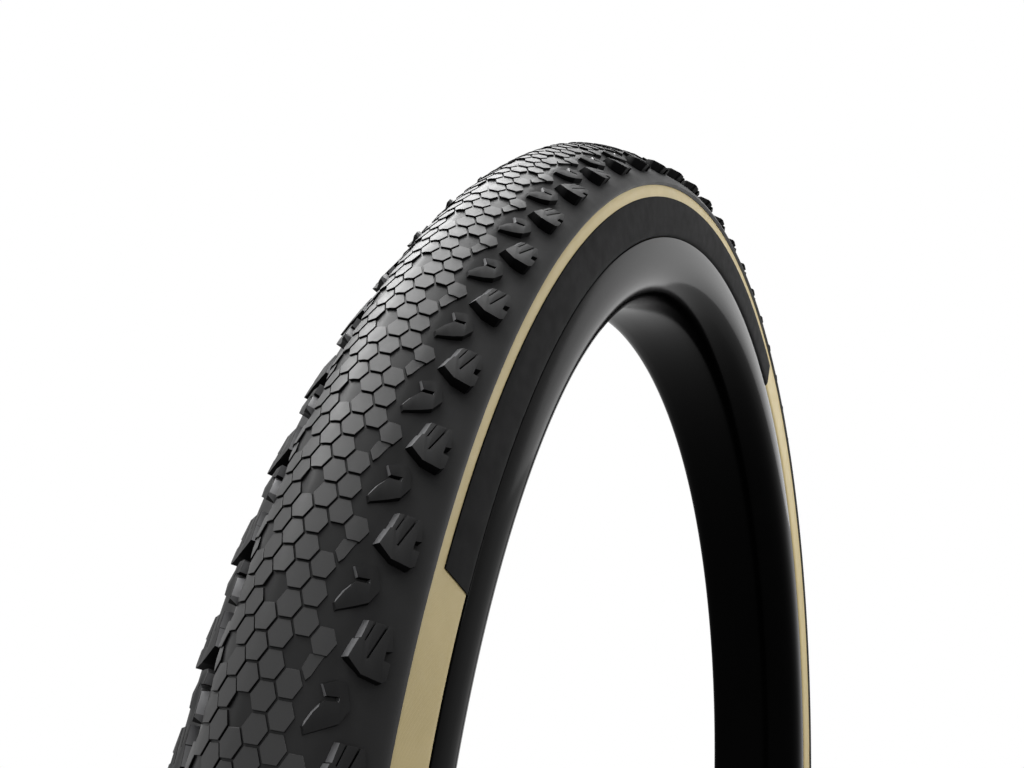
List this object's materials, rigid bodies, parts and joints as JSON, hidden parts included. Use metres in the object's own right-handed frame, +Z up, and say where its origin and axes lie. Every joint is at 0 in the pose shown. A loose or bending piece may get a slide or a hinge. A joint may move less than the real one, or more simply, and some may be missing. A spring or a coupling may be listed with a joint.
{
  "type": "bicycle tire on rim",
  "caption": "Wide bicycle tire with scaled tread, hooked shoulder knobs and tan sidewalls, mounted on a plain deep rim with a long-stem valve.",
  "frame": {"origin": "the wheel's centre, on its axis, midway between the sidewalls", "axes": "+Y along the wheel's axis with the labelled sidewall on -Y, +Z up away from the valve, +X to the right seen from -Y"},
  "size_m": [0.7252, 0.0664, 0.7252],
  "materials": {
    "tread_rubber": "matte",
    "tan_casing": "matte",
    "label_rubber": "satin",
    "rim_black": "satin",
    "bead_rubber": "matte",
    "belt_fabric": "matte",
    "tape_film": "satin",
    "black_alloy": "satin",
    "seal_rubber": "matte",
    "brass": "satin",
    "cap_plastic": "satin"
  },
  "bodies": {
    "wheel": {"tread": "tread_rubber", "casing": "tan_casing", "sidewall_label": "label_rubber", "rim": "rim_black", "bead_left": "bead_rubber", "bead_right": "bead_rubber", "breaker_belt": "belt_fabric", "rim_tape": "tape_film", "valve_stem": "black_alloy", "valve_base_seal": "seal_rubber", "rim_nut_seal": "seal_rubber", "valve_core_body": "brass", "valve_core_gasket": "seal_rubber"},
    "rim_nut": {"rim_nut": "black_alloy"},
    "plunger": {"valve_plunger": "brass", "plunger_seal": "seal_rubber"},
    "lock_nut": {"plunger_lock_nut": "brass"},
    "cap": {"valve_cap": "cap_plastic"}
  },
  "joints": [
    {"name": "cap_lift", "type": "slide", "parent": "wheel", "child": "cap", "axis": [0, 0, 1], "range_m": [0, 0.024]},
    {"name": "plunger_press", "type": "slide", "parent": "wheel", "child": "plunger", "axis": [0, 0, -1], "range_m": [0, 0.0015], "stiffness_N_per_m": 300, "springref_m": -0.001},
    {"name": "lock_nut_turn", "type": "hinge", "parent": "plunger", "child": "lock_nut", "pos_m": [0, 0, -0.25443], "axis": [0, 0, 1], "range_deg": [0, 360]},
    {"name": "rim_nut_turn", "type": "hinge", "parent": "wheel", "child": "rim_nut", "pos_m": [0, 0, -0.28073], "axis": [0, 0, 1], "range_deg": [0, 360]}
  ]
}
